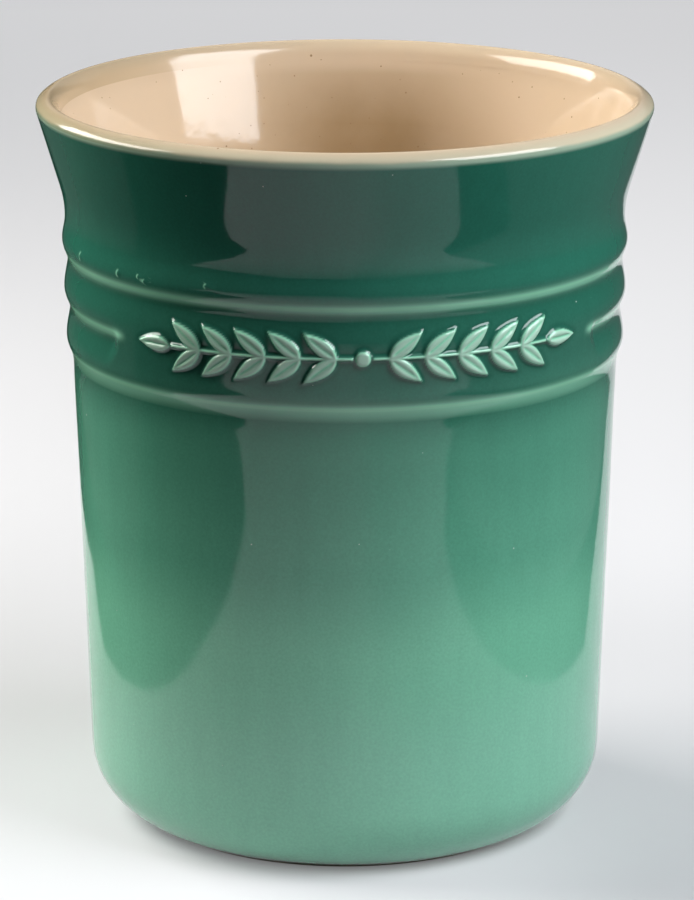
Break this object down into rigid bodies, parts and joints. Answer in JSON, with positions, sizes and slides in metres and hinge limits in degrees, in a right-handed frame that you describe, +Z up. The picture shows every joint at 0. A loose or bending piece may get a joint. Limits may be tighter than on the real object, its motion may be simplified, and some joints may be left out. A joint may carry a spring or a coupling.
{
  "type": "utensil crock",
  "caption": "Open glazed stoneware crock with a flared rim, ringed collar, plain tapering wall and bare foot ring, for standing kitchen utensils in.",
  "frame": {"origin": "middle of the foot ring's face, on the table", "axes": "+Z up along the crock's axis, front of the crock and its plain panel towards -Y, +X to the right seen from the front"},
  "size_m": [0.1244, 0.1244, 0.15],
  "materials": {
    "fired_clay": "bare fired stoneware, matt and slightly gritty",
    "green_glaze": "glossy green glaze, dark at the top and lighter towards the foot, pale where it thins over edges",
    "rim_glaze": "glossy pale khaki where the two coats thin over the lip",
    "cream_glaze": "glossy cream lining"
  },
  "bodies": {
    "root": {"stoneware_body": "fired_clay", "outer_glaze": "green_glaze", "rim_glaze": "rim_glaze", "inner_glaze": "cream_glaze", "underside_glaze": "green_glaze"}
  },
  "joints": []
}
